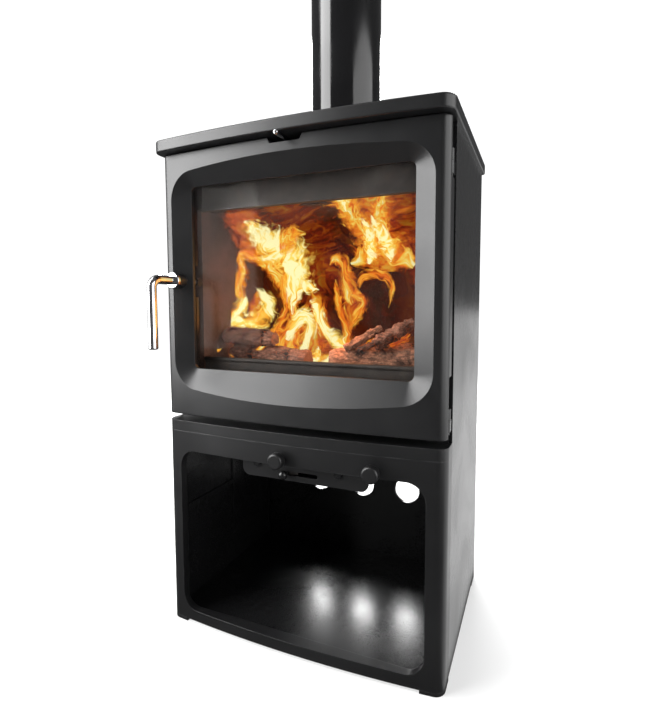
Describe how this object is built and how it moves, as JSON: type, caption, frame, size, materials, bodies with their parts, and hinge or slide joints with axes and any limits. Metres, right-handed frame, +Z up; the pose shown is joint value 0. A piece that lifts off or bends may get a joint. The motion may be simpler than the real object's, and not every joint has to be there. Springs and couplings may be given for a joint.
{
  "type": "wood burning stove",
  "caption": "Freestanding wood burning stove with a bow-fronted glazed door, an open log store below and a round flue pipe on top.",
  "frame": {"origin": "on the floor, midway between the sides, and midway between the foremost point of the handle and the rear edge of the top plate", "axes": "+X to the hinge side (the right, seen from the front), +Y from the front to the back, +Z up"},
  "size_m": [0.471, 0.386, 1.2855],
  "materials": {
    "stove_paint": "matt heat-resistant black paint",
    "cast_black": "matt black painted casting with a fine grain",
    "mild_steel": "dark heat-tinted steel",
    "plain_steel": "plain turned steel",
    "polished_chrome": "polished",
    "fire_brick": "rough, sooted",
    "fire_glass": "clear ceramic glass",
    "rope_seal": "woven black glass fibre",
    "charred_wood": "bark and split wood, charred"
  },
  "bodies": {
    "stove": {"top_plate": "cast_black", "flue_spigot": "cast_black", "spigot_bolts": "mild_steel", "flue_pipe": "stove_paint", "firebox_side_left": "stove_paint", "firebox_side_right": "stove_paint", "firebox_rear_panel": "stove_paint", "firebox_floor": "mild_steel", "front_frame": "stove_paint", "hinge_lugs": "stove_paint", "hinge_pins": "mild_steel", "latch_keep": "mild_steel", "grate_carrier": "mild_steel", "riddling_guides": "mild_steel", "grate": "cast_black", "ash_pan": "mild_steel", "firebrick_left": "fire_brick", "firebrick_right": "fire_brick", "firebricks_rear": "fire_brick", "firebricks_base": "fire_brick", "baffle": "fire_brick", "log_guard": "mild_steel", "airwash_deflector": "mild_steel", "airwash_rails": "mild_steel", "fire_logs": "charred_wood", "store_front_frame": "cast_black", "store_side_left": "stove_paint", "store_side_right": "stove_paint", "store_rear_panel": "stove_paint", "store_floor": "stove_paint", "store_top_plate": "cast_black", "feet": "cast_black", "side_stiffeners": "stove_paint", "control_plate": "cast_black", "control_bolts": "mild_steel", "air_box": "mild_steel"},
    "door": {"door_casting": "cast_black", "door_glass": "fire_glass", "glass_gasket": "rope_seal", "door_rope_seal": "rope_seal", "glass_clips": "mild_steel", "glass_clip_screws": "mild_steel", "handle_boss": "cast_black"},
    "handle": {"handle_shaft": "plain_steel", "handle_collar": "polished_chrome", "handle_bar": "polished_chrome", "latch_cam": "mild_steel", "latch_nut": "mild_steel"},
    "airwash_control": {"airwash_lever": "polished_chrome", "airwash_shutter": "mild_steel"},
    "air_slider": {"air_slider_ball": "mild_steel", "air_slider_plate": "mild_steel"},
    "boost_air_pull": {"boost_air_rod": "mild_steel", "boost_air_knob": "cast_black"},
    "riddling_gear": {"riddling_knob": "cast_black", "riddling_linkage": "mild_steel", "riddling_plate": "mild_steel"}
  },
  "joints": [
    {"name": "door_hinge", "type": "hinge", "parent": "stove", "child": "door", "pos_m": [0.222, -0.107, 0.536], "axis": [0, 0, 1], "range_deg": [0, 100]},
    {"name": "handle_turn", "type": "hinge", "parent": "door", "child": "handle", "pos_m": [-0.202, -0.129, 0.568], "axis": [0, 1, 0], "range_deg": [0, 90]},
    {"name": "airwash_slide", "type": "slide", "parent": "stove", "child": "airwash_control", "axis": [1, 0, 0], "range_m": [-0.012, 0.012]},
    {"name": "air_slider_slide", "type": "slide", "parent": "stove", "child": "air_slider", "axis": [1, 0, 0], "range_m": [0, 0.048]},
    {"name": "boost_air_slide", "type": "slide", "parent": "stove", "child": "boost_air_pull", "axis": [0, -1, 0], "range_m": [0, 0.022]},
    {"name": "riddling_slide", "type": "slide", "parent": "stove", "child": "riddling_gear", "axis": [0, -1, 0], "range_m": [0, 0.03]}
  ]
}
